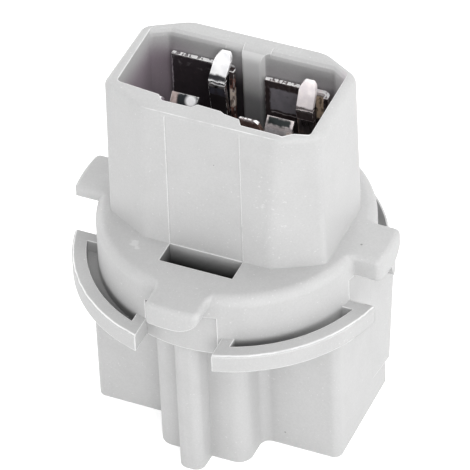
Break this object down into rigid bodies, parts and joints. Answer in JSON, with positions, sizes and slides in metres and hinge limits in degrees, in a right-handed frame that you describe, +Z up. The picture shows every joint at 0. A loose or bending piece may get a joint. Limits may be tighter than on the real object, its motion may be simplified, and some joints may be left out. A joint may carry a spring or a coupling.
{
  "type": "bulb socket",
  "caption": "Grey moulded automotive bulb socket with an octagonal tower, bayonet lug flange, grooved guard arcs, connector shroud and stamped spring contacts.",
  "frame": {"origin": "on the axis of the lug flange, on the plane of the open end of the connector shroud", "axes": "+Z up through the bulb tower, -Y towards the side with the window and the latch pod, +X towards the end with the tapered key"},
  "size_m": [0.0344, 0.0344, 0.0421],
  "materials": {
    "plastic": "satin, finely mottled",
    "contact": "plated, bright with bronze tint"
  },
  "bodies": {
    "root": {"housing": "plastic", "contact_left": "contact", "contact_right": "contact"}
  },
  "joints": []
}
